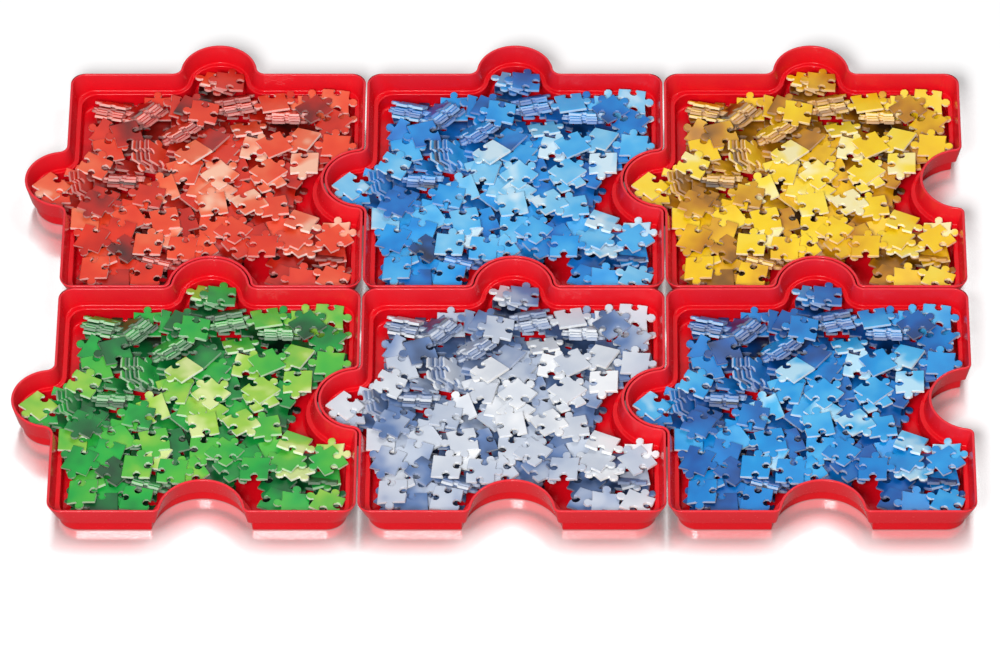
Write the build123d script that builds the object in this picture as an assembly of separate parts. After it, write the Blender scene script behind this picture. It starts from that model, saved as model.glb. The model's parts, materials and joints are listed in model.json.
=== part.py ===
"""Six puzzle sorting trays, each shaped like one jigsaw piece, filled with loose jigsaw pieces by colour.

Every tray has a tab behind and on the left, and a socket in front and on the right, so that the trays
lock into one another in a row or a square. The wall leans out over a ledge, on which the foot of another
tray seats when the trays are stacked. Millimetres, +Z up. The origin is under the middle of the trays,
on the surface that they stand on; +X runs along a row of three, +Y to the back.
"""

import os
from math import atan, atan2, cos, degrees, radians, sin, sqrt

from build123d import *

# ---- sizes ----------------------------------------------------------------------------------------

# The tray's plan, at the rim
TRAY_PITCH = 200.0  # from the middle of one locked tray to the middle of the next
RIM_GAP = 0.5  # between two rims, and between a tab and its socket
CORNER_RADIUS = 9.5
TAB_RADIUS = 26.0
TAB_CENTRE_OUT = 1.0  # how far the tab's centre lies outside the straight side
TAB_ROOT_RADIUS = 5.5  # fillet where the tab leaves the side
LEAST_RADIUS = 0.8  # of a round that the wall's thickness uses up
BOW_FACETS = 12  # flats round a tab or a socket
CORNER_FACETS = 3
FILLET_FACETS = 2
FLAT_TOLERANCE = 1e-6  # a flat's fourth corner lies this near the plane of the other three, or it twists

# The tray's section
TRAY_HEIGHT = 25.0
WALL = 1.8
FLOOR = 2.0
STEP_HEIGHT = 10.5  # underside of the step in the outer wall
STEP_CORNER_RADIUS = 13.5  # the corner grows rounder from the rim down to here
BASE_CORNER_RADIUS = 13.0
RIM_FLARE = 3.3  # how far the upper wall leans out from the step to the rim
BASE_DRAFT = 0.6  # how far the base band leans out from the foot to the step
STACK_CLEARANCE = 2.0  # all round a stacked tray's foot, on the ledge

# The trays, front row first, each named by its place and the colour sorted into it
TRAYS = [
    [("front_left", "green"), ("front_middle", "silver"), ("front_right", "blue")],
    [("back_left", "red"), ("back_middle", "sky"), ("back_right", "yellow")],
]

# A loose jigsaw piece
PIECE_SIZE = 18.4  # side of a piece, without its knobs
PIECE_THICKNESS = 1.9
KNOB_RADIUS = 2.7
KNOB_NECK = 3.1  # width of the knob where it leaves the piece
KNOB_FACETS = 5
CUT_CLEARANCE = 0.1  # a knob is this much smaller than its hole, on the radius

# The pile: the packed pieces that fill a tray below those that lie loose on top
PILE_DEPTH = 9.0
PILE_CLEARANCE = 1.6  # to the tray's wall
PIECE_LIFT = 0.1  # between a piece and what it rests on
PILE_FACETS = (6, 2, 2)  # round a bow, a fillet and a corner

# Where the loose pieces lie on the pile, from the middle of the tray
SPREAD = 26.0  # the spiral of flat pieces widens by this much
SPREAD_MIDDLE = (-14.0, 10.0)  # clear of the two sockets
GOLDEN_ANGLE = 137.5
TAB_PIECE_REACH = 96.0  # of the piece that lies in a tab
LEANING_X = (-70.0, 52.0)  # of each propped pair
LEANING_Y = (66.0, 70.0)
LEANING_TURNS = (20.0, -70.0)
PROP_DISTANCE = 8.0  # from a leaning piece's lower edge to the piece that props it

FLAT_FORMS = [
    ("knob", "hole", "knob", "hole"),
    ("knob", "knob", "hole", "hole"),
    ("hole", "knob", "hole", "hole"),
]
CORNER_FORM = ("straight", "straight", "knob", "hole")
TAB_FORMS = [("knob", "hole", "hole", "knob"), ("hole", "hole", "knob", "hole")]
LEANING_FORM = ("hole", "straight", "knob", "hole")
PROP_FORM = ("knob", "hole", "knob", "straight")

# ---- where each tray stands ------------------------------------------------------------------------

HALF_SIDE = (TRAY_PITCH - RIM_GAP) / 2
TAB_REACH = TAB_CENTRE_OUT + TAB_RADIUS
MIDDLE_X = (len(TRAYS[0]) * TRAY_PITCH - TAB_REACH) / 2
MIDDLE_Y = (len(TRAYS) * TRAY_PITCH + TAB_REACH) / 2


def tray_place(row, column):
    """The point under the middle of a tray."""
    return Pos((column + 0.5) * TRAY_PITCH - MIDDLE_X, (row + 0.5) * TRAY_PITCH - MIDDLE_Y, 0)


# ---- the tray's outline ----------------------------------------------------------------------------


def arc_points(centre, radius, first, last, facets):
    """Points round a centre from one angle to another, in degrees. The last one is left to what follows."""
    angles = [radians(first + (last - first) * step / facets) for step in range(facets)]
    return [centre + Vector(cos(angle), sin(angle)) * radius for angle in angles]


def notched_side(inset, corner, outward, bow_facets, fillet_facets, corner_facets):
    """Points along the front side, from its left fillet to its right corner, which has the radius corner.

    outward is 1 for a tab and -1 for a socket. The inset draws the side in, as a wall's thickness does.
    """
    side_y = -HALF_SIDE + inset
    if outward > 0:
        bow_centre = Vector(0, -HALF_SIDE - TAB_CENTRE_OUT)
        bow_radius = TAB_RADIUS - inset
        fillet_radius = TAB_ROOT_RADIUS + inset
    else:
        bow_centre = Vector(0, -HALF_SIDE - RIM_GAP + TAB_CENTRE_OUT)
        bow_radius = TAB_RADIUS + RIM_GAP + inset
        fillet_radius = max(TAB_ROOT_RADIUS - RIM_GAP - inset, LEAST_RADIUS)
    fillet_y = side_y - outward * fillet_radius
    reach = bow_radius + fillet_radius
    fillet_x = sqrt(reach**2 - (fillet_y - bow_centre.Y) ** 2)
    left_fillet = Vector(-fillet_x, fillet_y)
    right_fillet = Vector(fillet_x, fillet_y)
    meet = degrees(atan2(bow_centre.Y - fillet_y, fillet_x))
    square = outward * 90

    corner_centre = Vector(HALF_SIDE - inset - corner, side_y + corner)
    return [
        *arc_points(left_fillet, fillet_radius, square, meet, fillet_facets),
        *arc_points(bow_centre, bow_radius, 180 + meet, 180 - meet + 2 * square, bow_facets),
        *arc_points(right_fillet, fillet_radius, 180 - meet, 180 - square, fillet_facets),
        right_fillet + Vector(0, outward * fillet_radius),
        *arc_points(corner_centre, corner, -90, 0, corner_facets),
        corner_centre + Vector(corner, 0),
    ]


def outline(inset, corner, height, facets=(BOW_FACETS, FILLET_FACETS, CORNER_FACETS)):
    """The tray's plan drawn in by inset, at a height: sockets in front and right, tabs behind and left."""
    points = []
    for turn, outward in enumerate([-1, -1, 1, 1]):
        for point in notched_side(inset, corner, outward, *facets):
            points.append(point.rotate(Axis.Z, 90 * turn) + Vector(0, 0, height))
    return points


def plane_face(points, holes=()):
    return Face(Wire.make_polygon(points), [Wire.make_polygon(hole) for hole in holes])


def band(low, high):
    """The flats between two outlines, one above the other. A flat that would twist is two triangles."""
    faces = []
    for start in range(len(low)):
        end = (start + 1) % len(low)
        a, b, c, d = low[start], low[end], high[end], high[start]
        twist = abs((b - a).cross(c - a).normalized().dot(d - a))
        if twist < FLAT_TOLERANCE:
            faces.append(plane_face([a, b, c, d]))
        else:
            faces.append(plane_face([a, b, c]))
            faces.append(plane_face([a, c, d]))
    return faces


def closed_solid(faces):
    return Solid(Shell(faces))


# ---- the tray --------------------------------------------------------------------------------------


def below_rim(height):
    """How far down the upper wall a height is: 0 at the rim, 1 at the step."""
    return (TRAY_HEIGHT - height) / (TRAY_HEIGHT - STEP_HEIGHT)


def upper_inset(height):
    """How far the outside of the upper wall lies inside the rim's edge."""
    return RIM_FLARE * below_rim(height)


def upper_corner(height):
    """The radius of the upper wall's corners, outside."""
    return CORNER_RADIUS + (STEP_CORNER_RADIUS - CORNER_RADIUS) * below_rim(height)


LEDGE_HEIGHT = STEP_HEIGHT + WALL
LEDGE_INSET = upper_inset(LEDGE_HEIGHT) + WALL
FOOT_INSET = LEDGE_INSET + STACK_CLEARANCE
FLOOR_CORNER = BASE_CORNER_RADIUS - WALL


def lower_inset(height):
    """How far the outside of the base band lies inside the rim's edge."""
    return FOOT_INSET - BASE_DRAFT * height / STEP_HEIGHT


def make_tray():
    """One moulding of even wall: base band, step, flared wall, rim, and the same inside down to the floor."""
    foot = outline(lower_inset(0), BASE_CORNER_RADIUS, 0)
    band_top = outline(lower_inset(STEP_HEIGHT), BASE_CORNER_RADIUS, STEP_HEIGHT)
    step_edge = outline(upper_inset(STEP_HEIGHT), upper_corner(STEP_HEIGHT), STEP_HEIGHT)
    rim_outside = outline(0, CORNER_RADIUS, TRAY_HEIGHT)
    rim_inside = outline(WALL, CORNER_RADIUS - WALL, TRAY_HEIGHT)
    ledge_outside = outline(LEDGE_INSET, upper_corner(LEDGE_HEIGHT) - WALL, LEDGE_HEIGHT)
    ledge_inside = outline(lower_inset(LEDGE_HEIGHT) + WALL, FLOOR_CORNER, LEDGE_HEIGHT)
    floor_edge = outline(lower_inset(FLOOR) + WALL, FLOOR_CORNER, FLOOR)
    return closed_solid(
        [
            plane_face(foot),
            *band(foot, band_top),
            plane_face(step_edge, [band_top]),
            *band(step_edge, rim_outside),
            plane_face(rim_outside, [rim_inside]),
            *band(ledge_outside, rim_inside),
            plane_face(ledge_outside, [ledge_inside]),
            *band(floor_edge, ledge_inside),
            plane_face(floor_edge),
        ]
    )


# ---- jigsaw pieces ---------------------------------------------------------------------------------


def piece_side(form):
    """Points along the front side of a piece, from its left corner: straight, with a knob, or with a hole."""
    left = Vector(-PIECE_SIZE / 2, -PIECE_SIZE / 2)
    if form == "straight":
        return [left]
    outward = 1 if form == "knob" else -1
    radius = KNOB_RADIUS - CUT_CLEARANCE if form == "knob" else KNOB_RADIUS
    rise = sqrt(radius**2 - (KNOB_NECK / 2) ** 2)
    centre = Vector(0, -PIECE_SIZE / 2 - outward * rise)
    neck = degrees(atan2(rise, KNOB_NECK / 2))
    square = outward * 180
    return [
        left,
        *arc_points(centre, radius, 180 - outward * neck, 180 + square + outward * neck, KNOB_FACETS),
        Vector(KNOB_NECK / 2, -PIECE_SIZE / 2),
    ]


def make_piece(forms):
    """A die-cut piece lying flat on height 0. forms are its front, right, back and left sides."""
    points = []
    for turn, form in enumerate(forms):
        points += [point.rotate(Axis.Z, 90 * turn) for point in piece_side(form)]
    return extrude(plane_face(points), amount=PIECE_THICKNESS).solid()


# ---- what fills a tray -----------------------------------------------------------------------------

PILE_TOP = FLOOR + PIECE_LIFT + PILE_DEPTH


def make_pile():
    """The packed pieces under the loose ones, as one block that follows the inside of the tray."""
    inset = lower_inset(FLOOR) + WALL + PILE_CLEARANCE
    plan = outline(inset, FLOOR_CORNER - PILE_CLEARANCE, FLOOR + PIECE_LIFT, PILE_FACETS)
    return extrude(plane_face(plan), amount=PILE_DEPTH).solid()


def on_pile(x, y, turn):
    return Pos(x, y, PILE_TOP) * Rot(0, 0, turn)


def spread_place(index):
    """A place on a spiral over the pile, which keeps its neighbours about one SPREAD apart."""
    angle = radians(GOLDEN_ANGLE * index)
    reach = SPREAD * sqrt(index + 0.5)
    x = SPREAD_MIDDLE[0] + reach * cos(angle)
    y = SPREAD_MIDDLE[1] + reach * sin(angle)
    return on_pile(x, y, GOLDEN_ANGLE * index)


def make_flat_pieces():
    return [spread_place(index) * make_piece(forms) for index, forms in enumerate(FLAT_FORMS)]


def make_corner_piece():
    return [spread_place(len(FLAT_FORMS)) * make_piece(CORNER_FORM)]


def make_tab_pieces():
    """One piece in the back tab and one in the left tab."""
    back_form, left_form = TAB_FORMS
    return [
        on_pile(0, TAB_PIECE_REACH, GOLDEN_ANGLE) * make_piece(back_form),
        on_pile(-TAB_PIECE_REACH, 0, -GOLDEN_ANGLE) * make_piece(left_form),
    ]


def make_leaning_pieces():
    """Pairs of pieces, one of which leans over the edge of the other."""
    tilt = degrees(atan((PIECE_THICKNESS + PIECE_LIFT) / PROP_DISTANCE))
    prop = Pos(PROP_DISTANCE + PIECE_SIZE / 2, 0, 0) * make_piece(PROP_FORM)
    leaning = Rot(0, -tilt, 0) * Pos(PIECE_SIZE / 2, 0, 0) * make_piece(LEANING_FORM)
    places = zip(LEANING_X, LEANING_Y, LEANING_TURNS)
    return [on_pile(*place) * shape for place in places for shape in (prop, leaning)]


# ---- the finished parts ----------------------------------------------------------------------------


def write(name, place, shapes):
    """One file for a node: one solid, or a group of them."""
    placed = [place * shape for shape in shapes]
    shape = placed[0] if len(placed) == 1 else Compound(children=placed)
    export_step(shape, os.path.join("parts", name + ".step"))


if __name__ == "__main__":
    os.makedirs("parts", exist_ok=True)
    contents = {
        "pile": [make_pile()],
        "flat_pieces": make_flat_pieces(),
        "corner_piece": make_corner_piece(),
        "tab_pieces": make_tab_pieces(),
        "leaning_pieces": make_leaning_pieces(),
    }
    tray = make_tray()
    for row, trays in enumerate(TRAYS):
        for column, (place_name, colour) in enumerate(trays):
            place = tray_place(row, column)
            write("tray_" + place_name, place, [tray])
            for content_name, shapes in contents.items():
                write(content_name + "_" + colour, place, shapes)
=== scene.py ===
# %% [markdown]
# # Six jigsaw-shaped sorting trays, full of loose puzzle pieces
# The object is a set of six identical trays, injection moulded in glossy red polystyrene. Each tray has the
# plan of one jigsaw piece, so they lock together, and each holds a heap of die-cut cardboard pieces of one
# colour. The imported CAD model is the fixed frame: it says where every tray and every heap is, and which
# body carries it. This script only dresses it.

# %% Load the frame and keep its box
import json
from math import atan2, cos, degrees, pi, radians, sin, sqrt, tan

import bpy
import numpy as np
from mathutils import Matrix, Vector

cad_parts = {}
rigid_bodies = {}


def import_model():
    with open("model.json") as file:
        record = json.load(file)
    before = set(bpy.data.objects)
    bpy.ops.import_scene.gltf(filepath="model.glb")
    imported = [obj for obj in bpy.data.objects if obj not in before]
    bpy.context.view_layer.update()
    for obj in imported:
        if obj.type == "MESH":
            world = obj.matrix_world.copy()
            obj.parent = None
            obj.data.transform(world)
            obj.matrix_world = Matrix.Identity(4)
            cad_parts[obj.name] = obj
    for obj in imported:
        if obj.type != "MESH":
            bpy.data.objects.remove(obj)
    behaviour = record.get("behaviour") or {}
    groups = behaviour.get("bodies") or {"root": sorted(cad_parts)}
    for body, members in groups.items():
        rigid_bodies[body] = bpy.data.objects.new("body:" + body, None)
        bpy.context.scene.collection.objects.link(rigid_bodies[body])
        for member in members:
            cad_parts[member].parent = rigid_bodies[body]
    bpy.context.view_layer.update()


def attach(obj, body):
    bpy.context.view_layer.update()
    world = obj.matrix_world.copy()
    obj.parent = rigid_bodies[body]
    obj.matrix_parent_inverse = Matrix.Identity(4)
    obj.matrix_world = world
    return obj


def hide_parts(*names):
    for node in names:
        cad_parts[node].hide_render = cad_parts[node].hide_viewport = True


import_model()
MM = 0.001

# %% [markdown]
# Two helpers serve the whole scene. Colours are written as sRGB hex values, as a paint chart gives them, and
# a shader wants linear light, so one function converts them. The other adds a node to any tree, shader or
# geometry, with its settings, its socket values and its links, which keeps a tree readable as a list.


# %% Colour and node helpers
def linear(hex_value):
    """An sRGB hex colour as linear RGBA."""
    channels = [int(hex_value[start : start + 2], 16) / 255 for start in (1, 3, 5)]
    return (*[c / 12.92 if c <= 0.04045 else ((c + 0.055) / 1.055) ** 2.4 for c in channels], 1.0)


def add(tree, kind, inputs=None, **settings):
    """Add a node. An input's key is its socket's name or number; its value is a value or a socket to link."""
    node = tree.nodes.new(kind)
    for name, value in settings.items():
        setattr(node, name, value)
    for key, value in (inputs or {}).items():
        if isinstance(value, bpy.types.NodeSocket):
            tree.links.new(value, node.inputs[key])
        else:
            node.inputs[key].default_value = value
    return node


def new_material(name):
    """An empty material with its output node."""
    material = bpy.data.materials.new(name)
    material.use_nodes = True
    material.node_tree.nodes.clear()
    output = add(material.node_tree, "ShaderNodeOutputMaterial")
    return material, material.node_tree, output


MIX_COLOURS = {"data_type": "RGBA", "clamp_factor": True}
MIX_A, MIX_B, MIX_RESULT = 6, 7, 2  # the colour sockets of a Mix node, which share their names with others
print("white is", linear("#FFFFFF"))

# %% [markdown]
# The photograph looks down at the trays from the front, at 46.7 degrees, through a long lens: the rows
# shrink very little towards the back. The camera stands where a fit to the trays' corners puts it, looks
# straight along +Y, and its lens is shifted a little sideways.

# %% Camera
CAMERA_PLACE = (54.2, -3832.4, 4027.2)
LOOK_DOWN = 46.66
LENS = 302.2
SIDE_SHIFT = -0.0752

camera_data = bpy.data.cameras.new("camera")
camera_data.sensor_fit = "HORIZONTAL"
camera_data.lens = LENS
camera_data.shift_x = SIDE_SHIFT
camera_data.clip_end = 100
camera = bpy.data.objects.new("camera", camera_data)
camera.location = Vector(CAMERA_PLACE) * MM
camera.rotation_euler = (radians(90 - LOOK_DOWN), 0, 0)
bpy.context.collection.objects.link(camera)
bpy.context.scene.camera = camera
print("camera", LENS, "mm, looking down", LOOK_DOWN, "degrees")

# %% [markdown]
# The trays stand on a sheet of white acrylic, which mirrors the foot of the front walls. In the photograph
# that reflection fades out within a finger's breadth, so the mirror share follows how closed in the floor is,
# which Ambient Occlusion measures: half closed at the foot of a wall, and open past the reach. The floor
# mirrors for the camera alone, or the lamp would reach the walls a second time by way of the floor.

# %% Floor
FLOOR_HALF = 6000  # mm
WHITE = "#FFFFFF"
FLOOR_UNSEEN = "#B4B4B4"  # to all but the camera, or the floor's glow would bleach the walls
FLOOR_POLISH = 0.17  # roughness of the reflection
FLOOR_MIRROR = 0.85  # share of the floor's light that is a reflection, where a tray touches it
MIRROR_REACH = 26  # mm from a tray at which the reflection has faded out
FLOOR_LIFT = 0.12  # light that the camera alone sees, so that the floor is white to its far end
FOOT_OPENNESS = 0.5  # of the floor at the foot of a wall
OPENNESS_SAMPLES = 12

material, tree, output = new_material("polished_white_acrylic")
path = add(tree, "ShaderNodeLightPath")
sheet_white = add(
    tree,
    "ShaderNodeMix",
    {0: path.outputs["Is Camera Ray"], MIX_A: linear(FLOOR_UNSEEN), MIX_B: linear(WHITE)},
    **MIX_COLOURS,
)
diffuse = add(tree, "ShaderNodeBsdfDiffuse", {"Color": sheet_white.outputs[MIX_RESULT]})
gloss = add(tree, "ShaderNodeBsdfGlossy", {"Color": linear(WHITE), "Roughness": FLOOR_POLISH})
openness = add(
    tree, "ShaderNodeAmbientOcclusion", {"Distance": MIRROR_REACH * MM}, samples=OPENNESS_SAMPLES
)
mirror = add(
    tree,
    "ShaderNodeMapRange",
    {
        "Value": openness.outputs["AO"],
        "From Min": FOOT_OPENNESS,
        "From Max": 1.0,
        "To Min": FLOOR_MIRROR,
        "To Max": 0.0,
    },
)
mirror = add(
    tree, "ShaderNodeMath", {0: path.outputs["Is Camera Ray"], 1: mirror.outputs[0]}, operation="MULTIPLY"
)
blend = add(
    tree, "ShaderNodeMixShader", {0: mirror.outputs[0], 1: diffuse.outputs[0], 2: gloss.outputs[0]}
)
lift = add(
    tree, "ShaderNodeMath", {0: path.outputs["Is Camera Ray"], 1: FLOOR_LIFT}, operation="MULTIPLY"
)
glow = add(tree, "ShaderNodeEmission", {"Color": linear(WHITE), "Strength": lift.outputs[0]})
lit = add(tree, "ShaderNodeAddShader", {0: blend.outputs[0], 1: glow.outputs[0]})
tree.links.new(lit.outputs[0], output.inputs["Surface"])
floor_mesh = bpy.data.meshes.new("floor")
corners = [(-1, -1), (1, -1), (1, 1), (-1, 1)]
floor_points = [(x * FLOOR_HALF * MM, y * FLOOR_HALF * MM, 0) for x, y in corners]
floor_mesh.from_pydata(floor_points, [], [(0, 1, 2, 3)])
floor_mesh.materials.append(material)
floor = bpy.data.objects.new("floor", floor_mesh)
bpy.context.collection.objects.link(floor)
print("the reflection fades out in", MIRROR_REACH, "mm")

# %% [markdown]
# Light comes from a large soft box in front, a smaller one overhead that glints on tilted pieces, and an
# even white room. The room is plain white to the camera and in reflections, and dimmer as a lamp, so that
# colours render about as they are written.

# %% Room and lamps
ROOM_LEVEL = 0.28

world = bpy.data.worlds.new("white_room")
world.use_nodes = True
tree = world.node_tree
tree.nodes.clear()
path = add(tree, "ShaderNodeLightPath")
seen = path.outputs["Is Camera Ray"]
for ray in ("Is Glossy Ray", "Is Transmission Ray"):
    seen = add(tree, "ShaderNodeMath", {0: seen, 1: path.outputs[ray]}, operation="MAXIMUM").outputs[0]
level = add(tree, "ShaderNodeMapRange", {"Value": seen, "To Min": ROOM_LEVEL, "To Max": 1.0})
background = add(tree, "ShaderNodeBackground", {"Color": linear(WHITE), "Strength": level.outputs[0]})
output = add(tree, "ShaderNodeOutputWorld")
tree.links.new(background.outputs[0], output.inputs["Surface"])
bpy.context.scene.world = world


def soft_box(name, place, width, level):
    """A square area lamp aimed at the trays. Its level is the share of full light that it gives a surface
    that faces it."""
    distance = Vector(place).length * MM
    data = bpy.data.lights.new(name, "AREA")
    data.size = width * MM
    data.energy = level * (pi * distance) ** 2
    lamp = bpy.data.objects.new(name, data)
    lamp.location = Vector(place) * MM
    lamp.rotation_euler = Vector(place).to_track_quat("Z", "Y").to_euler()
    bpy.context.collection.objects.link(lamp)


soft_box("front_soft_box", (-450, -2350, 2200), 900, 0.86)
soft_box("top_soft_box", (900, 900, 2600), 700, 0.16)
bpy.context.scene.view_settings.view_transform = "Standard"
print("room level", ROOM_LEVEL)

# %% [markdown]
# ## The trays
# A tray is one moulding of even wall. Seen from above, its rim is a square with a round tab behind and on
# the left and a round socket in front and on the right. Seen in section, a narrow base band carries a step,
# above which the wall leans out to the rim; the same step inside is the ledge on which another tray's foot
# seats. The outline and the section are written once, in the sizes of the real tray. Every ring of the mesh
# is the outline drawn in by the section's inset, so all walls follow the plan exactly.

# %% Sizes of the tray
PITCH = 200.0  # from the middle of one locked tray to the middle of the next
RIM_GAP = 0.5
HALF_SIDE = (PITCH - RIM_GAP) / 2
CORNER_RADIUS = 9.5
TAB_RADIUS = 26.0
TAB_CENTRE_OUT = 1.0
TAB_ROOT_RADIUS = 5.5
LEAST_RADIUS = 0.8
RIM_HEIGHT = 25.0
WALL = 1.8
FLOOR_TOP = 2.0
STEP_HEIGHT = 10.5
STEP_CORNER_RADIUS = 13.5
BASE_CORNER_RADIUS = 13.0
RIM_FLARE = 3.3
BASE_DRAFT = 0.6
STACK_CLEARANCE = 2.0
LEDGE_HEIGHT = STEP_HEIGHT + WALL
LEDGE_SHARE = (RIM_HEIGHT - LEDGE_HEIGHT) / (RIM_HEIGHT - STEP_HEIGHT)  # of the way down the upper wall
LEDGE_INSET = RIM_FLARE * LEDGE_SHARE + WALL
LEDGE_CORNER = CORNER_RADIUS + (STEP_CORNER_RADIUS - CORNER_RADIUS) * LEDGE_SHARE - WALL
FLOOR_CORNER = BASE_CORNER_RADIUS - WALL
FOOT_INSET = LEDGE_INSET + STACK_CLEARANCE
FLAT_EDGE = 6.0  # mm of underside and floor that belong to the section


def band_inset(height):
    """How far the outside of the base band lies inside the rim's edge."""
    return FOOT_INSET - BASE_DRAFT * height / STEP_HEIGHT


# The section, from the underside, up the outside, over the rim and down to the floor: inset, height, the
# radius to which the mould rounds that edge, and the radius of the plan's corners there
SECTION = [
    (FOOT_INSET + FLAT_EDGE, 0, 0, BASE_CORNER_RADIUS - FLAT_EDGE),
    (band_inset(0), 0, 0.8, BASE_CORNER_RADIUS),
    (band_inset(STEP_HEIGHT), STEP_HEIGHT, 0.5, BASE_CORNER_RADIUS),
    (RIM_FLARE, STEP_HEIGHT, 0.6, STEP_CORNER_RADIUS),
    (0, RIM_HEIGHT, 0.7, CORNER_RADIUS),
    (WALL, RIM_HEIGHT, 0.7, CORNER_RADIUS - WALL),
    (LEDGE_INSET, LEDGE_HEIGHT, 0.9, LEDGE_CORNER),
    (band_inset(LEDGE_HEIGHT) + WALL, LEDGE_HEIGHT, 0.8, FLOOR_CORNER),
    (band_inset(FLOOR_TOP) + WALL, FLOOR_TOP, 1.4, FLOOR_CORNER),
    (FOOT_INSET + WALL + FLAT_EDGE, FLOOR_TOP, 0, FLOOR_CORNER - FLAT_EDGE),
]
print("ledge at", round(LEDGE_INSET, 2), "mm in, foot at", round(FOOT_INSET, 2), "mm in")

# %% [markdown]
# Rounded corners are what makes moulded plastic read as plastic: each one carries a thin line of light. An
# arc of a few steps rounds each corner, and a pair of support points holds the flat beside it flat, so
# that smooth shading bends only where the plastic does.

# %% Outline and section
BOW_STEPS, FILLET_STEPS, CORNER_STEPS, SECTION_STEPS = 36, 7, 8, 5
SUPPORT = 0.5


def arc(centre, radius, first, last, steps):
    """Points round a centre from one angle to another, in degrees, without the last."""
    angles = np.radians(first + (last - first) * np.arange(steps) / steps)
    return np.asarray(centre) + radius * np.stack([np.cos(angles), np.sin(angles)], axis=1)


def notched_side(inset, corner, outward):
    """Points along the front side; outward is 1 for a tab and -1 for a socket."""
    side = -HALF_SIDE + inset
    if outward > 0:
        bow_centre, bow_radius = (0, -HALF_SIDE - TAB_CENTRE_OUT), TAB_RADIUS - inset
        fillet = TAB_ROOT_RADIUS + inset
    else:
        bow_centre, bow_radius = (0, -HALF_SIDE - RIM_GAP + TAB_CENTRE_OUT), TAB_RADIUS + RIM_GAP + inset
        fillet = max(TAB_ROOT_RADIUS - RIM_GAP - inset, LEAST_RADIUS)
    fillet_y = side - outward * fillet
    fillet_x = sqrt((bow_radius + fillet) ** 2 - (fillet_y - bow_centre[1]) ** 2)
    meet = degrees(atan2(bow_centre[1] - fillet_y, fillet_x))
    square = outward * 90
    corner_x = HALF_SIDE - inset - corner
    return np.concatenate(
        [
            [(-fillet_x - SUPPORT, side)],
            arc((-fillet_x, fillet_y), fillet, square, meet, FILLET_STEPS),
            arc(bow_centre, bow_radius, 180 + meet, 180 - meet + 2 * square, BOW_STEPS),
            arc((fillet_x, fillet_y), fillet, 180 - meet, 180 - square, FILLET_STEPS),
            [(fillet_x, side), (fillet_x + SUPPORT, side), (corner_x - SUPPORT, side)],
            arc((corner_x, side + corner), corner, -90, 0, CORNER_STEPS),
            [(corner_x + corner, side + corner), (corner_x + corner, side + corner + SUPPORT)],
        ]
    )


def outline(inset, corner):
    """The tray's plan drawn in by inset: sockets in front and right, tabs behind and left."""
    sides = []
    for turn, outward in enumerate([-1, -1, 1, 1]):
        angle = radians(90 * turn)
        rotation = np.array([[cos(angle), sin(angle)], [-sin(angle), cos(angle)]])
        sides.append(notched_side(inset, corner, outward) @ rotation)
    return np.concatenate(sides)


def rounded_section(section):
    """The section with its edges rounded, as (inset, height, plan corner) with a support beside each arc."""
    points = [(*section[0][:2], section[0][3])]
    for before, (x, z, radius, plan_corner), after in zip(section, section[1:], section[2:]):
        corner = Vector((x, z))
        back = (Vector(before[:2]) - corner).normalized()
        ahead = (Vector(after[:2]) - corner).normalized()
        half_angle = back.angle(ahead) / 2
        reach = radius / tan(half_angle)
        centre = corner + (back + ahead).normalized() * (radius / sin(half_angle))
        first, last = corner + back * reach - centre, corner + ahead * reach - centre
        turn = first.angle_signed(last)
        places = [corner + back * (reach + SUPPORT / 4)]
        for step in range(SECTION_STEPS + 1):
            spoke = first.copy()
            spoke.rotate(Matrix.Rotation(-turn * step / SECTION_STEPS, 2))
            places.append(centre + spoke)
        places.append(corner + ahead * (reach + SUPPORT / 4))
        points += [(*place, plan_corner) for place in places]
    return points + [(*section[-1][:2], section[-1][3])]


TRAY_SECTION = rounded_section(SECTION)
print(len(TRAY_SECTION), "rings of", len(outline(0, CORNER_RADIUS)), "points")

# %% [markdown]
# The rings are joined by quads from the underside, over the rim, to the floor, and two flat faces close the
# shell below and above. Each point also keeps an attribute, edge, that says how near it is to the rim or to
# the step's edge: the plastic reads it to paint a pinker highlight there, for light through the thin rim.


# %% Tray meshes
# painted highlight: how far the pinker colour reaches from the rim and from the step's edge
RIM_HIGHLIGHT_REACH, STEP_HIGHLIGHT_REACH = 1.6, 1.1  # mm
STEP_HIGHLIGHT_SHARE = 0.6  # of the rim's


def painted_highlight_at(inset, height):
    """The share of painted highlight: 1 on the rim and less on the step's edge, falling to 0 away from them.
    """
    rim = 1 - (RIM_HEIGHT - height) / RIM_HIGHLIGHT_REACH
    step = 1 - (abs(inset - RIM_FLARE) + abs(height - STEP_HEIGHT)) / STEP_HIGHLIGHT_REACH
    return max(rim, STEP_HIGHLIGHT_SHARE * step, 0.0)


def tray_mesh(name, middle):
    """A closed shell: the rings of the section, joined, in the tray's place."""
    rings = []
    for inset, height, corner in TRAY_SECTION:
        plan = outline(inset, corner) + middle
        rings.append(np.column_stack([plan, np.full(len(plan), height)]))
    count = len(rings[0])
    faces = [tuple(reversed(range(count)))]
    for ring in range(len(rings) - 1):
        low, high = ring * count, (ring + 1) * count
        for point in range(count):
            beside = (point + 1) % count
            faces.append((low + point, low + beside, high + beside, high + point))
    faces.append(tuple(range((len(rings) - 1) * count, len(rings) * count)))
    mesh = bpy.data.meshes.new(name)
    mesh.from_pydata((np.concatenate(rings) * MM).tolist(), [], faces)
    mesh.shade_smooth()
    # the edge attribute marks where the plastic paints its pinker highlight
    glow = mesh.attributes.new("edge", "FLOAT", "POINT")
    glow.data.foreach_set("value", np.repeat([painted_highlight_at(*point[:2]) for point in TRAY_SECTION], count))
    return mesh


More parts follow.
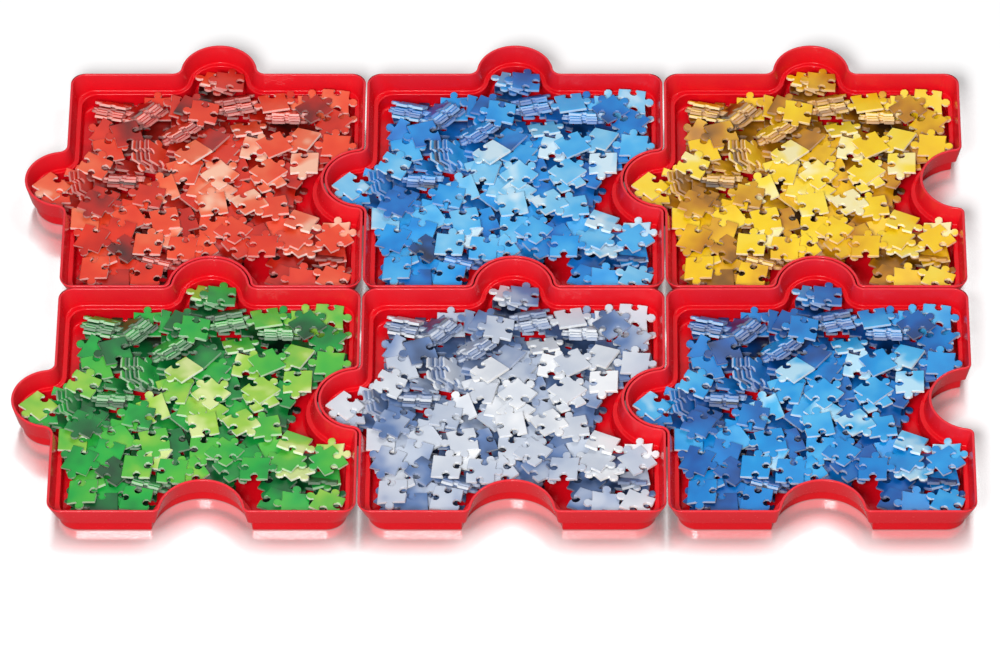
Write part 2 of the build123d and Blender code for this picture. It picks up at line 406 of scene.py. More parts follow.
MIDDLE_X = (3 * PITCH - TAB_CENTRE_OUT - TAB_RADIUS) / 2
MIDDLE_Y = (2 * PITCH + TAB_CENTRE_OUT + TAB_RADIUS) / 2
TRAYS = {
    "front_left": (0, 0, "green"),
    "front_middle": (1, 0, "silver"),
    "front_right": (2, 0, "blue"),
    "back_left": (0, 1, "red"),
    "back_middle": (1, 1, "sky"),
    "back_right": (2, 1, "yellow"),
}
tray_middle = {
    place: np.array([(column + 0.5) * PITCH - MIDDLE_X, (row + 0.5) * PITCH - MIDDLE_Y])
    for place, (column, row, _) in TRAYS.items()
}
trays = {}
for place, middle in tray_middle.items():
    tray = bpy.data.objects.new("moulded_tray_" + place, tray_mesh("moulded_tray_" + place, middle))
    bpy.context.collection.objects.link(tray)
    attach(tray, "tray_" + place)
    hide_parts("tray_" + place)
    trays[place] = tray
print(len(trays), "trays of", len(trays["back_left"].data.polygons), "faces")

# %% [markdown]
# The plastic is high-impact polystyrene, dyed red and moulded in a polished tool. Its colour is deep and
# even, its skin is glossy with the faint waviness of a cooled moulding, and handling has left fine scuffs
# that show only as a change in gloss. The rim and the step's edge are painted a little pinker, a painted
# highlight for light that passes through the thin rim.

# %% Moulded red polystyrene
PLASTIC_RED = "#E60E1E"
PLASTIC_DEEP = "#D80A18"
# painted highlight: a pinker red mixed in on the rim and on the step's edge
PLASTIC_PAINTED_HIGHLIGHT = "#F2404C"
PAINTED_HIGHLIGHT_SHARE = 0.55  # of the edge's colour that shows on the very rim
POLYSTYRENE_IOR = 1.59
SKIN_GLOSS = 0.16  # specular level, under the usual 0.5, since the skin is scuffed
MOULD_WAVE = 9.0  # mm from crest to crest of the skin's waviness
WAVE_DEPTH = 0.12  # mm, deeper than real so that the waviness shows
SCUFF_SIZE = 1.6  # mm
POLISHED, SCUFFED = 0.16, 0.34  # roughness of the skin
MOTTLE_SIZE = 30.0  # mm, of the uneven dye

material, tree, output = new_material("moulded_red_polystyrene")
metres = add(tree, "ShaderNodeTexCoord").outputs["Object"]
mottle = add(tree, "ShaderNodeTexNoise", {"Vector": metres, "Scale": 1 / (MOTTLE_SIZE * MM), "Detail": 3.0})
dye = add(
    tree,
    "ShaderNodeMix",
    {0: mottle.outputs[0], MIX_A: linear(PLASTIC_DEEP), MIX_B: linear(PLASTIC_RED)},
    **MIX_COLOURS,
)
# painted highlight: the edge attribute mixes the pinker red in on the rim and the step's edge
edge = add(tree, "ShaderNodeAttribute", attribute_name="edge")
painted_highlight_share = add(tree, "ShaderNodeMath", {0: edge.outputs["Fac"], 1: PAINTED_HIGHLIGHT_SHARE}, operation="MULTIPLY")
colour = add(
    tree,
    "ShaderNodeMix",
    {0: painted_highlight_share.outputs[0], MIX_A: dye.outputs[MIX_RESULT], MIX_B: linear(PLASTIC_PAINTED_HIGHLIGHT)},
    **MIX_COLOURS,
)
scuff = add(
    tree,
    "ShaderNodeTexNoise",
    {"Vector": metres, "Scale": 1 / (SCUFF_SIZE * MM), "Detail": 5.0, "Roughness": 0.7},
)
gloss = add(
    tree,
    "ShaderNodeMapRange",
    {"Value": scuff.outputs[0], "From Min": 0.45, "From Max": 0.75, "To Min": POLISHED, "To Max": SCUFFED},
)
wave = add(tree, "ShaderNodeTexNoise", {"Vector": metres, "Scale": 1 / (MOULD_WAVE * MM), "Detail": 1.0})
skin = add(tree, "ShaderNodeBump", {"Height": wave.outputs[0], "Distance": WAVE_DEPTH * MM, "Strength": 0.6})
plastic = add(
    tree,
    "ShaderNodeBsdfPrincipled",
    {
        "Base Color": colour.outputs[MIX_RESULT],
        "Roughness": gloss.outputs[0],
        "IOR": POLYSTYRENE_IOR,
        "Specular IOR Level": SKIN_GLOSS,
        "Normal": skin.outputs[0],
    },
)
tree.links.new(plastic.outputs[0], output.inputs["Surface"])
for tray in trays.values():
    tray.data.materials.append(material)
print("plastic", PLASTIC_RED)

# %% [markdown]
# ## The loose pieces
# A puzzle piece is grey board about 2 mm thick under a printed, coated paper. The die rounds the printed
# edge over and leaves the pale board bare at the cut. A dozen cuts are enough for a heap: each side has a
# knob, a hole or a straight edge, and the knobs wander a little, as in a real cut. Three layers are marked
# on the faces, the print, the cut board and the back, so that one material can finish all three.

# %% Outlines of the pieces
PIECE_SIDE = 18.4  # mm, as are the sizes below
PIECE_THICKNESS = 1.9
KNOB_RADIUS = 2.75
KNOB_SPREAD = 0.08  # share by which a knob may be larger or smaller
KNOB_NECK = 3.1
KNOB_WANDER = 1.3  # how far a knob may lie from the middle of its side
SHOULDER = 0.5  # how far the side dips beside a knob
SHOULDER_REACH = 2.6
KNOB_STEPS = 7
PRINT_ROUND = 0.3  # how far the die rounds the printed edge over
PRINT_LAYER, BOARD_LAYER, BACK_LAYER = 0.0, 1.0, 2.0
# The four sides of each cut: k is a knob, h a hole and s a straight edge
PIECE_CUTS = ["khkh", "kkhh", "hkhh", "kkkh", "hhhk", "khhk", "hkkh", "kkkk", "skhk", "shhk", "sshk", "skhh"]


def piece_side(form, rng):
    """Points along the front side from its left corner."""
    edge_y = -PIECE_SIDE / 2
    corner = np.array([[edge_y, edge_y]])
    if form == "s":
        return corner
    outward = 1 if form == "k" else -1
    middle = rng.uniform(-KNOB_WANDER, KNOB_WANDER)
    radius = KNOB_RADIUS * rng.uniform(1 - KNOB_SPREAD, 1 + KNOB_SPREAD)
    rise = sqrt(radius**2 - (KNOB_NECK / 2) ** 2)
    neck = degrees(atan2(rise, KNOB_NECK / 2))
    centre = (middle, edge_y - outward * rise)
    head = arc(centre, radius, 180 - outward * neck, 180 + outward * (180 + neck), KNOB_STEPS)
    dip = edge_y + outward * SHOULDER
    return np.concatenate(
        [
            corner,
            [(middle - SHOULDER_REACH, dip)],
            head,
            [(middle + KNOB_NECK / 2, edge_y), (middle + SHOULDER_REACH, dip)],
        ]
    )


def piece_outline(cut, rng):
    sides = []
    for turn, form in enumerate(cut):
        angle = radians(90 * turn)
        rotation = np.array([[cos(angle), sin(angle)], [-sin(angle), cos(angle)]])
        sides.append(piece_side(form, rng) @ rotation)
    return np.concatenate(sides)


def drawn_in(points, distance):
    """A closed outline moved inwards, point by point."""
    along = np.roll(points, -1, axis=0) - np.roll(points, 1, axis=0)
    inward = np.stack([-along[:, 1], along[:, 0]], axis=1)
    return points + distance * inward / np.linalg.norm(inward, axis=1, keepdims=True)


rng = np.random.default_rng(7)
piece_outlines = [piece_outline(cut, rng) for cut in PIECE_CUTS]
print(len(piece_outlines), "cuts of", len(piece_outlines[0]), "points")

# %% [markdown]
# A piece is shown hundreds of times, so its mesh is three rings and two flat faces. Its UV map lays one piece
# on one unit of the printed sheet.


# %% Piece meshes
def piece_mesh(name, points):
    """A piece lying on height 0, with its layers marked and its print laid out flat."""
    count = len(points)
    printed = drawn_in(points, PRINT_ROUND)
    levels = [(points, 0), (points, PIECE_THICKNESS - PRINT_ROUND), (printed, PIECE_THICKNESS)]
    vertices = np.concatenate([np.column_stack([ring, np.full(count, height)]) for ring, height in levels])
    faces = [tuple(reversed(range(count)))]
    layers = [BACK_LAYER]
    for ring, layer in enumerate([BOARD_LAYER, PRINT_LAYER]):
        for point in range(count):
            beside = (point + 1) % count
            low, high = ring * count, (ring + 1) * count
            faces.append((low + point, low + beside, high + beside, high + point))
            layers.append(layer)
    faces.append(tuple(range(2 * count, 3 * count)))
    layers.append(PRINT_LAYER)
    mesh = bpy.data.meshes.new(name)
    mesh.from_pydata((vertices * MM).tolist(), [], faces)
    mesh.attributes.new("layer", "FLOAT", "FACE").data.foreach_set("value", layers)
    sheet = mesh.uv_layers.new(name="print")
    corners = np.array([loop.vertex_index for loop in mesh.loops])
    sheet.data.foreach_set("uv", (vertices[corners, :2] / PIECE_SIDE + 0.5).ravel())
    return mesh


cuts = bpy.data.collections.new("piece_cuts")
for number, points in enumerate(piece_outlines):
    name = f"cut_{number:02d}"
    cuts.objects.link(bpy.data.objects.new(name, piece_mesh(name, points)))

# %% [markdown]
# Pieces tipped out of a box settle one on another. A rigid body simulation of some two hundred such outlines
# is slow and hard to steer, so each piece is laid one by one: a height map of the tray keeps the
# top of what lies there already, and a new piece, turned at random, comes down on it. The map starts as the
# inside of the tray, so pieces also lean on its ledge and walls.

# %% Height map of the empty tray
MAP_LOW, MAP_SIZE = -134, 268  # mm, in cells of one mm
BLOCKED = 90.0  # height of what a piece may not touch
TINY = 1e-6


def distance_to(points, loop):
    """Distance from each point to a closed loop, negative outside it."""
    ahead = np.roll(loop, -1, axis=0)
    nearest = np.full(len(points), np.inf)
    inside = np.zeros(len(points), bool)
    for (ax, ay), (bx, by) in zip(loop, ahead):
        dx, dy = bx - ax, by - ay
        px, py = points[:, 0] - ax, points[:, 1] - ay
        share = np.clip((px * dx + py * dy) / (dx * dx + dy * dy + 1e-12), 0, 1)
        nearest = np.minimum(nearest, np.hypot(px - share * dx, py - share * dy))
        crosses = (ay > points[:, 1]) != (by > points[:, 1])
        inside ^= crosses & (px < dx * py / (dy if dy else 1e-12))
    return np.where(inside, nearest, -nearest)


cells = np.stack(np.meshgrid(np.arange(MAP_SIZE), np.arange(MAP_SIZE), indexing="ij"), axis=-1)
cell_middles = (cells + MAP_LOW + 0.5).reshape(-1, 2)
rim_distance = distance_to(cell_middles, outline(0, CORNER_RADIUS))
tray_map = np.full(len(cell_middles), BLOCKED)
inner_rings = SECTION[5:9]
for (inset, height, _, corner), (next_inset, next_height, _, next_corner) in zip(
    inner_rings, inner_rings[1:]
):
    past = distance_to(cell_middles, outline(inset, corner))
    short = -distance_to(cell_middles, outline(next_inset, next_corner))
    share = np.where(short > 0, past / np.maximum(past + short, TINY), 1)
    tray_map = np.where(past >= 0, height + share * (next_height - height), tray_map)
tray_map = tray_map.reshape(MAP_SIZE, MAP_SIZE)
print("the tray holds", int((tray_map < RIM_HEIGHT).sum()), "square mm")

# %% [markdown]
# A rigid piece rests on three points, and its middle lies between them, or it would tip over. The search
# starts from a plane far below. Whatever stands out above the plane becomes one of its three supports, until
# nothing does.

# %% How a piece comes to rest
SAMPLE = 0.8  # mm between the points at which a piece feels what is under it
FAR = 1000.0  # mm, of the first supports
REST_ROUNDS = 40
STANDS_OUT = 0.01  # mm


def samples_in(points):
    """A grid of points inside an outline, and the outline's own."""
    low, high = points.min(axis=0), points.max(axis=0)
    xs, ys = np.arange(low[0], high[0], SAMPLE), np.arange(low[1], high[1], SAMPLE)
    grid = np.stack(np.meshgrid(xs, ys, indexing="ij"), axis=-1).reshape(-1, 2)
    return np.concatenate([grid[distance_to(grid, points) > 0], points])


def plane_through(corners):
    """Height at the middle and the two slopes of the plane through three points."""
    rows = np.column_stack([np.ones(3), corners[:, :2]])
    return np.linalg.solve(rows, corners[:, 2])


def encloses(corners):
    """Is the middle inside the triangle?"""
    x, y = corners[:, 0], corners[:, 1]
    turns = x * np.roll(y, -1) - y * np.roll(x, -1)
    return turns.min() >= -1e-9 or turns.max() <= 1e-9


def rest_plane(offsets, heights):
    """The plane on which a rigid piece rests: on three of the heights, with its middle between them."""
    supports = np.array([[FAR, 0, -FAR], [-FAR, FAR, -FAR], [-FAR, -FAR, -FAR]])
    cloud = np.column_stack([offsets, heights])
    for _ in range(REST_ROUNDS):
        plane = plane_through(supports)
        over = heights - plane[0] - offsets @ plane[1:]
        highest = over.argmax()
        if over[highest] < STANDS_OUT:
            break
        for corner in range(3):
            trial = supports.copy()
            trial[corner] = cloud[highest]
            area = abs(np.cross(trial[1, :2] - trial[0, :2], trial[2, :2] - trial[0, :2]))
            if encloses(trial) and area > TINY:
                supports = trial
                break
        else:
            break
    return plane


piece_samples = [samples_in(points) for points in piece_outlines]
print("a piece feels", len(piece_samples[0]), "points")

# %% [markdown]
# A tilted piece covers a little less ground than a level one, so its rest is found again once its tilt is
# known. Then the map is raised to its top, and the next piece can lie on it.

# %% Laying one piece
TILT_ROUNDS = 3


def turned(angle):
    """The rotation about the upright axis."""
    return np.array([[cos(angle), -sin(angle), 0], [sin(angle), cos(angle), 0], [0, 0, 1]])


def tilted_to(slopes):
    """The rotation that tips a level piece onto a plane with these slopes."""
    normal = Vector((-slopes[0], -slopes[1], 1)).normalized()
    return np.array(Vector((0, 0, 1)).rotation_difference(normal).to_matrix())


def heights_at(heights, places):
    """The map's heights in the cells of some places."""
    index = np.floor(places - MAP_LOW).astype(int)
    return heights[index[:, 0], index[:, 1]]


def come_down(heights, cut, place, angle):
    """Where a piece comes to rest: the height of its middle, its rotation and its slope in degrees."""
    flat = np.column_stack([piece_samples[cut], np.zeros(len(piece_samples[cut]))])
    rotation = turned(angle)
    for _ in range(TILT_ROUNDS):
        offsets = (flat @ rotation.T)[:, :2]
        plane = rest_plane(offsets, heights_at(heights, place + offsets))
        rotation = tilted_to(plane[1:]) @ turned(angle)
    return plane[0], rotation, degrees(np.arctan(np.hypot(*plane[1:])))


def raise_map(heights, cut, place, height, rotation):
    """Raise the map to the top of a piece."""
    for level in (0, PIECE_THICKNESS / 2, PIECE_THICKNESS):
        solid = np.column_stack([piece_samples[cut], np.full(len(piece_samples[cut]), level)])
        world = solid @ rotation.T + [*place, height]
        index = np.floor(world[:, :2] - MAP_LOW).astype(int)
        np.maximum.at(heights, (index[:, 0], index[:, 1]), world[:, 2])


print("laying starts from an empty tray")

# %% [markdown]
# The photographed heaps keep clear of the walls: little in front and on the right, more behind, and most on
# the left behind the tab. Two hollows stay open down to the floor, and read as gaps.

# %% Where no piece may lie
FRONT_MARGIN, BACK_MARGIN, LEFT_MARGIN, LEFT_BACK_MARGIN = 3.0, 6.0, 4.0, 11.0  # mm, from the rim's edge
HOLLOWS = [(25, -69, 5), (63, -13, 5)]  # place and radius, mm

x, y = cell_middles.T
margin = np.full(len(cell_middles), FRONT_MARGIN)
margin[y > HALF_SIDE - BACK_MARGIN] = BACK_MARGIN
margin[x < LEFT_BACK_MARGIN - HALF_SIDE] = LEFT_MARGIN
margin[(x < LEFT_BACK_MARGIN - HALF_SIDE) & (y > TAB_RADIUS)] = LEFT_BACK_MARGIN
closed = rim_distance < margin
for hollow_x, hollow_y, radius in HOLLOWS:
    closed |= np.hypot(x - hollow_x, y - hollow_y) < radius
heights = np.where(closed.reshape(MAP_SIZE, MAP_SIZE), BLOCKED, tray_map)
free = cell_middles[(heights < LEDGE_HEIGHT - 0.5).ravel()]
print("pieces may lie on", int((~closed).sum()), "square mm")

# %% [markdown]
# The bottom of the heap is a layer of pieces that lie nearly flat and overlap a little, turned about as they
# would be in the finished puzzle. They hide the floor.

# %% Bottom layer
LAYER_STEP = 17.2  # mm between the pieces of the layer
LAYER_SHIFT = 2.0  # mm that a piece may be off its place
LAYER_TURN = 9.0  # degrees that a piece may be off square
LAYER_TRIES = 12
STEEPEST = 26.0  # degrees
HEADROOM = 5.5  # mm that a piece keeps below the rim
DEEPEST = 1.5  # mm that a piece's edge may sink into what lies there, as the map's cells are a mm wide


def both_faces(plan):
    """An outline's points on the back and on the print of a level piece."""
    return np.concatenate([np.column_stack([plan, np.full(len(plan), z)]) for z in (0, PIECE_THICKNESS)])


def drop(heights, cut, place, angle):
    """Where a piece comes to rest, as it is laid, and its slope; nothing where it doesn't fit."""
    height, rotation, slope = come_down(heights, cut, place, angle)
    edge = both_faces(piece_outlines[cut]) @ rotation.T + [*place, height]
    sunk = (heights_at(heights, edge[:, :2]) - edge[:, 2]).max()
    if slope > STEEPEST or sunk > DEEPEST or edge[:, 2].max() > RIM_HEIGHT - HEADROOM:
        return None
    return (cut, place, height, rotation), slope


def lay_bottom(heights, rng):
    """Lay a grid of pieces, each a little off its place."""
    laid = []
    spots = np.arange(-HALF_SIDE - TAB_RADIUS, HALF_SIDE + TAB_RADIUS, LAYER_STEP)
    for spot in np.stack(np.meshgrid(spots, spots), axis=-1).reshape(-1, 2):
        column, row = np.floor(spot - MAP_LOW).astype(int)
        if heights[column, row] >= LEDGE_HEIGHT:
            continue
        for _ in range(LAYER_TRIES):
            cut = int(rng.integers(len(PIECE_CUTS)))
            angle = radians(90 * int(rng.integers(4)) + rng.uniform(-LAYER_TURN, LAYER_TURN))
            dropped = drop(heights, cut, spot + rng.uniform(-LAYER_SHIFT, LAYER_SHIFT, 2), angle)
            if dropped:
                laid.append(dropped[0])
                raise_map(heights, *dropped[0])
                break
    return laid


rng = np.random.default_rng(21)
laid = lay_bottom(heights, rng)
middle_height = float(np.median(heights[heights < BLOCKED]))
print(len(laid), "pieces at the bottom, half of the map under", round(middle_height, 1), "mm")

# %% [markdown]
# Some pieces stand on edge in little stacks, where a handful slid into the tray together. They go in next,
# where the photograph shows them, and the loose ones come down round them.

# %% Stacks that stand on edge
# x and y of the stack's first piece in mm, direction in which it grows and lean in degrees, and count
STACKS = [
    (-72, 70, 76, 40, 5),
    (-44, 66, 138, 42, 6),
    (-50, 32, 4, 46, 5),
    (-62, 6, 86, 38, 4),
    (-90, 4, 8, 44, 3),
    (14, 74, 104, 40, 6),
    (46, 66, 88, 38, 4),
    (-22, 52, 132, 40, 4),
    (78, -64, 90, 36, 3),
    (-36, -66, 70, 34, 3),
]
STACK_STEP = 2.7  # mm from one piece to the next
STACK_CUTS = [9, 11, 8]  # with a straight edge to stand on, and no knob on top
STACK_FOOT = 3.0  # mm over the tray's floor
STACK_SWAY, STACK_TWIST = 3, 4  # degrees by which a piece's lean and turn may differ
# painted shade: pieces on edge are painted in darker tones of the print, for the shade that falls on them
STACK_PAINTED_SHADE = 0.6  # pieces on edge show the darker tones of the print
STACK_MARGIN = 1.1  # a piece stands only where one this much larger would clear the tray


def lay_stacks(heights, rng):
    """Stand the stacks' pieces in their places, and leave out those that would cut into the tray."""
    laid = []
    for x, y, direction, lean, count in STACKS:
        across = np.array([cos(radians(direction)), sin(radians(direction))])
        for number in range(count):
            cut = STACK_CUTS[number % len(STACK_CUTS)]
            place = np.array([x, y]) + across * STACK_STEP * number
            tip = Matrix.Rotation(radians(lean + rng.uniform(-STACK_SWAY, STACK_SWAY)), 3, "Y")
            stand = turned(radians(90 + rng.uniform(-STACK_TWIST, STACK_TWIST)))
            rotation = turned(radians(direction)) @ np.array(tip) @ stand
            edge = both_faces(piece_outlines[cut] * STACK_MARGIN) @ rotation.T
            height = FLOOR_TOP + STACK_FOOT - edge[:, 2].min()
            if (heights_at(tray_map, place + edge[:, :2]) < edge[:, 2] + height).all():
                laid.append((cut, place, height, rotation))
                raise_map(heights, cut, place, height, rotation)
    return laid


first_stacked = len(laid)
laid += lay_stacks(heights, rng)
last_stacked = len(laid)
print(last_stacked - first_stacked, "pieces on edge")

# %% [markdown]
# The loose pieces come down last. Of a few tries in the heap's hollows the lowest and flattest is kept, so
# the hollows fill first, as they do when the tray is shaken. A piece for which no try fits is left out.

# %% Loose pieces
DROPS = 300
TRIES = 10
HOLLOW_SHARE = 25  # percent of the heap's surface that counts as hollow, and takes the next piece
SLOPE_COST = 0.1  # mm of height that one degree of slope weighs as much as


def lay_loose(heights, rng):
    """Drop the loose pieces one by one, each at the best of a few places in the heap's hollows."""
    loose = []
    for _ in range(DROPS):
        tops = heights_at(heights, free)
        low = free[tops <= np.percentile(tops, HOLLOW_SHARE)]
        best = None
        for _ in range(TRIES):
            cut = int(rng.integers(len(PIECE_CUTS)))
            place = low[rng.integers(len(low))] + rng.uniform(-0.5, 0.5, 2)
            dropped = drop(heights, cut, place, rng.uniform(0, 2 * pi))
            if dropped:
                piece, slope = dropped
                score = piece[2] + SLOPE_COST * slope
                if best is None or score < best[0]:
                    best = (score, piece)
        if best:
            loose.append(best[1])
            raise_map(heights, *best[1])
    return loose


laid += lay_loose(heights, rng)
levels = heights[(heights < BLOCKED) & (tray_map < LEDGE_HEIGHT)]
print(len(laid), "pieces; half of the heap is over", round(float(np.median(levels)), 1), "mm")

# %% [markdown]
# One heap is a cloud of points, each with the cut, the turn and a seed for the print of its piece. Geometry
# Nodes put a piece on every point, give each its own place on the printed sheet, and realise the result as
# one mesh with its material. Every tray takes the same heap, as the photograph does, in another colour.

# %% A tree that lays pieces on points
TONE_SEED = 3  # one for all trays: a piece that is pale in one heap is pale in all, as in the photograph
# painted shade: only pieces painted darker, low in the heap and on edge, go under this least tint
LEAST_TINT = 0.2  # so that only the buried pieces take the darkest tone
SHEET_REACH = 40  # pieces' widths, over which the printed sheet is taken

tree = bpy.data.node_groups.new("pieces_on_places", "GeometryNodeTree")
sockets = {}
for label, kind in [
    ("Places", "NodeSocketGeometry"),
    ("Cuts", "NodeSocketCollection"),
    ("Card", "NodeSocketMaterial"),
    ("Piece Size", "NodeSocketFloat"),
    ("Colour Seed", "NodeSocketInt"),
]:
    sockets[label] = tree.interface.new_socket(label, in_out="INPUT", socket_type=kind).identifier
tree.interface.new_socket("Heap", in_out="OUTPUT", socket_type="NodeSocketGeometry")
given = add(tree, "NodeGroupInput")
cut = add(tree, "GeometryNodeInputNamedAttribute", {"Name": "cut"}, data_type="INT")
turn = add(tree, "GeometryNodeInputNamedAttribute", {"Name": "turn"}, data_type="FLOAT_VECTOR")
turn = add(tree, "FunctionNodeEulerToRotation", {0: turn.outputs[0]})
forms = add(
    tree,
    "GeometryNodeCollectionInfo",
    {"Collection": given.outputs["Cuts"], "Separate Children": True, "Reset Children": True},
)
pieces = add(
    tree,
    "GeometryNodeInstanceOnPoints",
    {
        "Points": given.outputs["Places"],
        "Instance": forms.outputs[0],
        "Pick Instance": True,
        "Instance Index": cut.outputs[0],
        "Rotation": turn.outputs[0],
        "Scale": given.outputs["Piece Size"],
    },
)
# painted shade: the tone attribute scales each piece's random tint down, low in the heap and on edge
tone = add(tree, "GeometryNodeInputNamedAttribute", {"Name": "tone"}, data_type="FLOAT")
chance = add(tree, "FunctionNodeRandomValue", {"Seed": TONE_SEED}, data_type="FLOAT")
chance.inputs[2].default_value = LEAST_TINT
tint = add(tree, "ShaderNodeMath", {0: chance.outputs[1], 1: tone.outputs[0]}, operation="MULTIPLY")
sheet = add(
    tree, "FunctionNodeRandomValue", {"Seed": given.outputs["Colour Seed"]}, data_type="FLOAT_VECTOR"
)
sheet.inputs["Max"].default_value = (SHEET_REACH, SHEET_REACH, SHEET_REACH)
tinted = add(
    tree,
    "GeometryNodeStoreNamedAttribute",
    {"Geometry": pieces.outputs[0], "Name": "tint", "Value": tint.outputs[0]},
    data_type="FLOAT",
    domain="INSTANCE",
)
printed = add(
    tree,
    "GeometryNodeStoreNamedAttribute",
    {"Geometry": tinted.outputs[0], "Name": "sheet_place", "Value": sheet.outputs[0]},
    data_type="FLOAT_VECTOR",
    domain="INSTANCE",
)
real = add(tree, "GeometryNodeRealizeInstances", {0: printed.outputs[0]})
carded = add(
    tree, "GeometryNodeSetMaterial", {"Geometry": real.outputs[0], "Material": given.outputs["Card"]}
)
add(tree, "NodeGroupOutput", {0: carded.outputs[0]})
heap_tree = tree
print("tree with", len(tree.nodes), "nodes")

# %% [markdown]
# The pieces are printed with parts of a picture that is mostly one colour, such as sky, grass or water, so
# each one has a tone of its own and drifts a little from edge to edge. A ramp of tones stands for the
# picture: a piece's own tint, random and painted darker as shade low in the heap and on edge, picks the
# tone, and noise on the printed sheet shifts it. The coat over the print is satin, the cut board is pale and
# matt and takes some of the print's tone, and the back is dull.

# %% Printed card
# The darkest tone of each ramp is taken mostly by pieces given painted shade, low in the heap.
PALETTES = {
    "red": ["#2A0402", "#B4180A", "#DC3016", "#EA4A28", "#F0704A", "#F9C0A4"],
    "sky": ["#04163A", "#0A68BC", "#1C96E2", "#4FB4EC", "#86CBF0", "#CFE9F7"],
    "yellow": ["#321802", "#BC7C0C", "#EDB90E", "#FBD312", "#FCE04A", "#FCEFB4"],
    "green": ["#02180C", "#066A30", "#0FA03A", "#4CB338", "#9CCA46", "#D6E498"],
    "silver": ["#0E1A36", "#5A78AA", "#B2BDD0", "#C9D0DC", "#DADFE7", "#EEF0F4"],
    "blue": ["#020D2C", "#00509E", "#007AC8", "#0A94DC", "#4CB4E8", "#B4DFF4"],
}
TONE_STOPS = [0.0, 0.24, 0.46, 0.70, 0.90, 1.0]
PICTURE_SIZE = 26.0  # mm, of the soft shapes in the printed picture
PICTURE_DRIFT = 0.2  # of the ramp, by which the tone drifts across a piece
BOARD_WHITE = "#FFFDF6"
# The dark end also falls on pieces given painted shade, low in the heap and on edge.
LEAST_BOARD, MOST_BOARD = 0.04, 0.75  # share of the board's white at the cut edge, in dark and pale tones
BACK_GREY = "#7C8588"
BACK_SHARE = 0.45
GRAIN_SIZE = 0.5  # mm, of the board's fibres, coarser than real so that they show
GRAIN_DEPTH = 0.03  # mm
SATIN, MATT = 0.30, 0.85  # roughness of the print and of the cut board


def printed_card(colour):
    """Coated, die-cut puzzle board in the tones of one colour."""
    material, tree, output = new_material("coated_puzzle_board_" + colour)
    tint = add(tree, "ShaderNodeAttribute", attribute_name="tint")
    layer = add(tree, "ShaderNodeAttribute", attribute_name="layer")
    place = add(tree, "ShaderNodeAttribute", attribute_name="sheet_place")
    sheet = add(tree, "ShaderNodeUVMap", uv_map="print")
    moved = add(
        tree, "ShaderNodeVectorMath", {0: sheet.outputs[0], 1: place.outputs["Vector"]}, operation="ADD"
    )
    picture = add(
        tree,
        "ShaderNodeTexNoise",
        {"Vector": moved.outputs[0], "Scale": PIECE_SIDE / PICTURE_SIZE, "Detail": 2.0},
    )
    drift = add(
        tree,
        "ShaderNodeMapRange",
        {
            "Value": picture.outputs[0],
            "From Min": 0.25,
            "From Max": 0.75,
            "To Min": -PICTURE_DRIFT,
            "To Max": PICTURE_DRIFT,
        },
    )
    tone = add(tree, "ShaderNodeMath", {0: tint.outputs["Fac"], 1: drift.outputs[0]}, operation="ADD")
    ramp = add(tree, "ShaderNodeValToRGB", {0: tone.outputs[0]})
    stops = ramp.color_ramp.elements
    while len(stops) < len(TONE_STOPS):
        stops.new(0.5)
    for stop, position, hex_value in zip(stops, TONE_STOPS, PALETTES[colour]):
        stop.position = position
        stop.color = linear(hex_value)
    pale = add(
        tree,
        "ShaderNodeMapRange",
        {"Value": tint.outputs["Fac"], "To Min": LEAST_BOARD, "To Max": MOST_BOARD},
    )
    board = add(
        tree,
        "ShaderNodeMix",
        {0: pale.outputs[0], MIX_A: ramp.outputs[0], MIX_B: linear(BOARD_WHITE)},
        **MIX_COLOURS,
    )
    back = add(
        tree,
        "ShaderNodeMix",
        {0: BACK_SHARE, MIX_A: ramp.outputs[0], MIX_B: linear(BACK_GREY)},
        **MIX_COLOURS,
    )
    is_board = add(tree, "ShaderNodeMath", {0: layer.outputs["Fac"], 1: BOARD_LAYER}, operation="MINIMUM")
    is_back = add(
        tree,
        "ShaderNodeMath",
        {0: layer.outputs["Fac"], 1: BOARD_LAYER},
        operation="SUBTRACT",
        use_clamp=True,
    )
    cut = add(
        tree,
        "ShaderNodeMix",
        {0: is_board.outputs[0], MIX_A: ramp.outputs[0], MIX_B: board.outputs[MIX_RESULT]},
        **MIX_COLOURS,
    )
    whole = add(
        tree,
        "ShaderNodeMix",
        {0: is_back.outputs[0], MIX_A: cut.outputs[MIX_RESULT], MIX_B: back.outputs[MIX_RESULT]},
        **MIX_COLOURS,
    )
    metres = add(tree, "ShaderNodeTexCoord").outputs["Object"]
    grain = add(
        tree, "ShaderNodeTexNoise", {"Vector": metres, "Scale": 1 / (GRAIN_SIZE * MM), "Detail": 2.0}
    )
    satin = add(
        tree, "ShaderNodeMapRange", {"Value": is_board.outputs[0], "To Min": SATIN, "To Max": MATT}
    )
    dull = add(
        tree,
        "ShaderNodeMath",
        {0: grain.outputs[0], 1: 0.12, 2: satin.outputs[0]},
        operation="MULTIPLY_ADD",
    )
    fibre = add(
        tree,
        "ShaderNodeBump",
        {"Height": grain.outputs[0], "Distance": GRAIN_DEPTH * MM, "Strength": 0.4},
    )
    card = add(
        tree,
        "ShaderNodeBsdfPrincipled",
        {"Base Color": whole.outputs[MIX_RESULT], "Roughness": dull.outputs[0], "Normal": fibre.outputs[0]},
    )
    tree.links.new(card.outputs[0], output.inputs["Surface"])
    return material


cards = {colour: printed_card(colour) for colour in PALETTES}
print(len(cards), "printed cards")
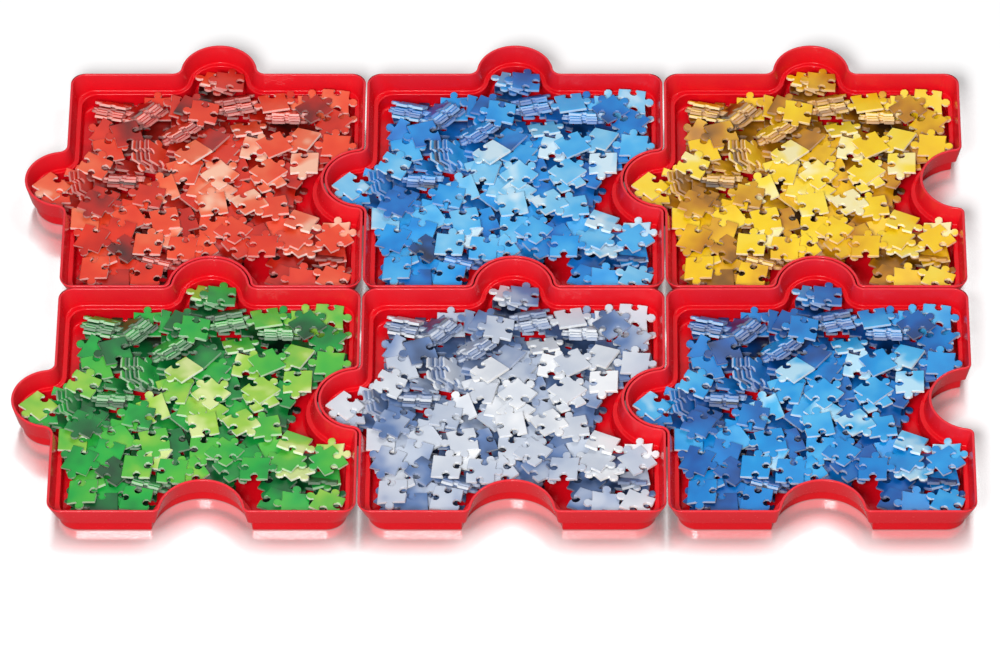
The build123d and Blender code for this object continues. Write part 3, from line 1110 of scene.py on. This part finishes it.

# %% [markdown]
# Each heap's points are moved to its tray, the tree is run once, and the evaluated result is kept as a plain
# mesh: the export drops modifiers' instances, and a plain mesh rides a body like any other piece. The heap
# stands for the five CAD nodes that hold its place. Pieces low in the heap are painted in darker tones of
# the print, a painted shade that makes its gaps read as deep.

# %% Heaps
HEAP_NODES = ["pile", "flat_pieces", "corner_piece", "tab_pieces", "leaning_pieces"]
# painted shade: pieces are painted darker the nearer they lie to the floor, up to this height
PAINTED_SHADE_DEPTH = 11.0  # mm over the floor, above which a piece shows its own tone
FIRST_SHEET_SEED = 3

raised = [(height - FLOOR_TOP) / PAINTED_SHADE_DEPTH for _, _, height, _ in laid]
painted_shade_levels = np.clip(raised, 0, 1)
# painted shade for the pieces on edge
painted_shade_levels[first_stacked:last_stacked] = STACK_PAINTED_SHADE


def places_mesh(name, middle):
    """The heap's points over one tray, with the attributes that the tree reads."""
    mesh = bpy.data.meshes.new(name)
    points = [(*(place + middle) * MM, height * MM) for _, place, height, _ in laid]
    mesh.from_pydata(points, [], [])
    turns = [Matrix(rotation).to_euler() for _, _, _, rotation in laid]
    mesh.attributes.new("cut", "INT", "POINT").data.foreach_set("value", [piece[0] for piece in laid])
    mesh.attributes.new("turn", "FLOAT_VECTOR", "POINT").data.foreach_set("vector", np.ravel(turns))
    mesh.attributes.new("tone", "FLOAT", "POINT").data.foreach_set("value", painted_shade_levels)
    return mesh


for seed, (place, (_, _, colour)) in enumerate(TRAYS.items(), FIRST_SHEET_SEED):
    name = "loose_pieces_" + colour
    source = bpy.data.objects.new(name + "_places", places_mesh(name, tray_middle[place]))
    bpy.context.collection.objects.link(source)
    modifier = source.modifiers.new("lay pieces", "NODES")
    modifier.node_group = heap_tree
    modifier[sockets["Cuts"]] = cuts
    modifier[sockets["Card"]] = cards[colour]
    modifier[sockets["Piece Size"]] = 1.0
    modifier[sockets["Colour Seed"]] = seed
    evaluated = source.evaluated_get(bpy.context.evaluated_depsgraph_get())
    mesh = bpy.data.meshes.new_from_object(evaluated)
    mesh.materials.clear()
    mesh.materials.append(cards[colour])
    mesh.polygons.foreach_set("material_index", np.zeros(len(mesh.polygons), int))
    source.modifiers.remove(modifier)
    bpy.data.objects.remove(source)
    heap = bpy.data.objects.new(name, mesh)
    bpy.context.collection.objects.link(heap)
    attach(heap, "heap_" + colour)
    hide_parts(*[node + "_" + colour for node in HEAP_NODES])
    print(name, len(laid), "pieces,", len(mesh.polygons), "faces")
for source in list(cuts.objects):
    bpy.data.objects.remove(source)
bpy.data.collections.remove(cuts)
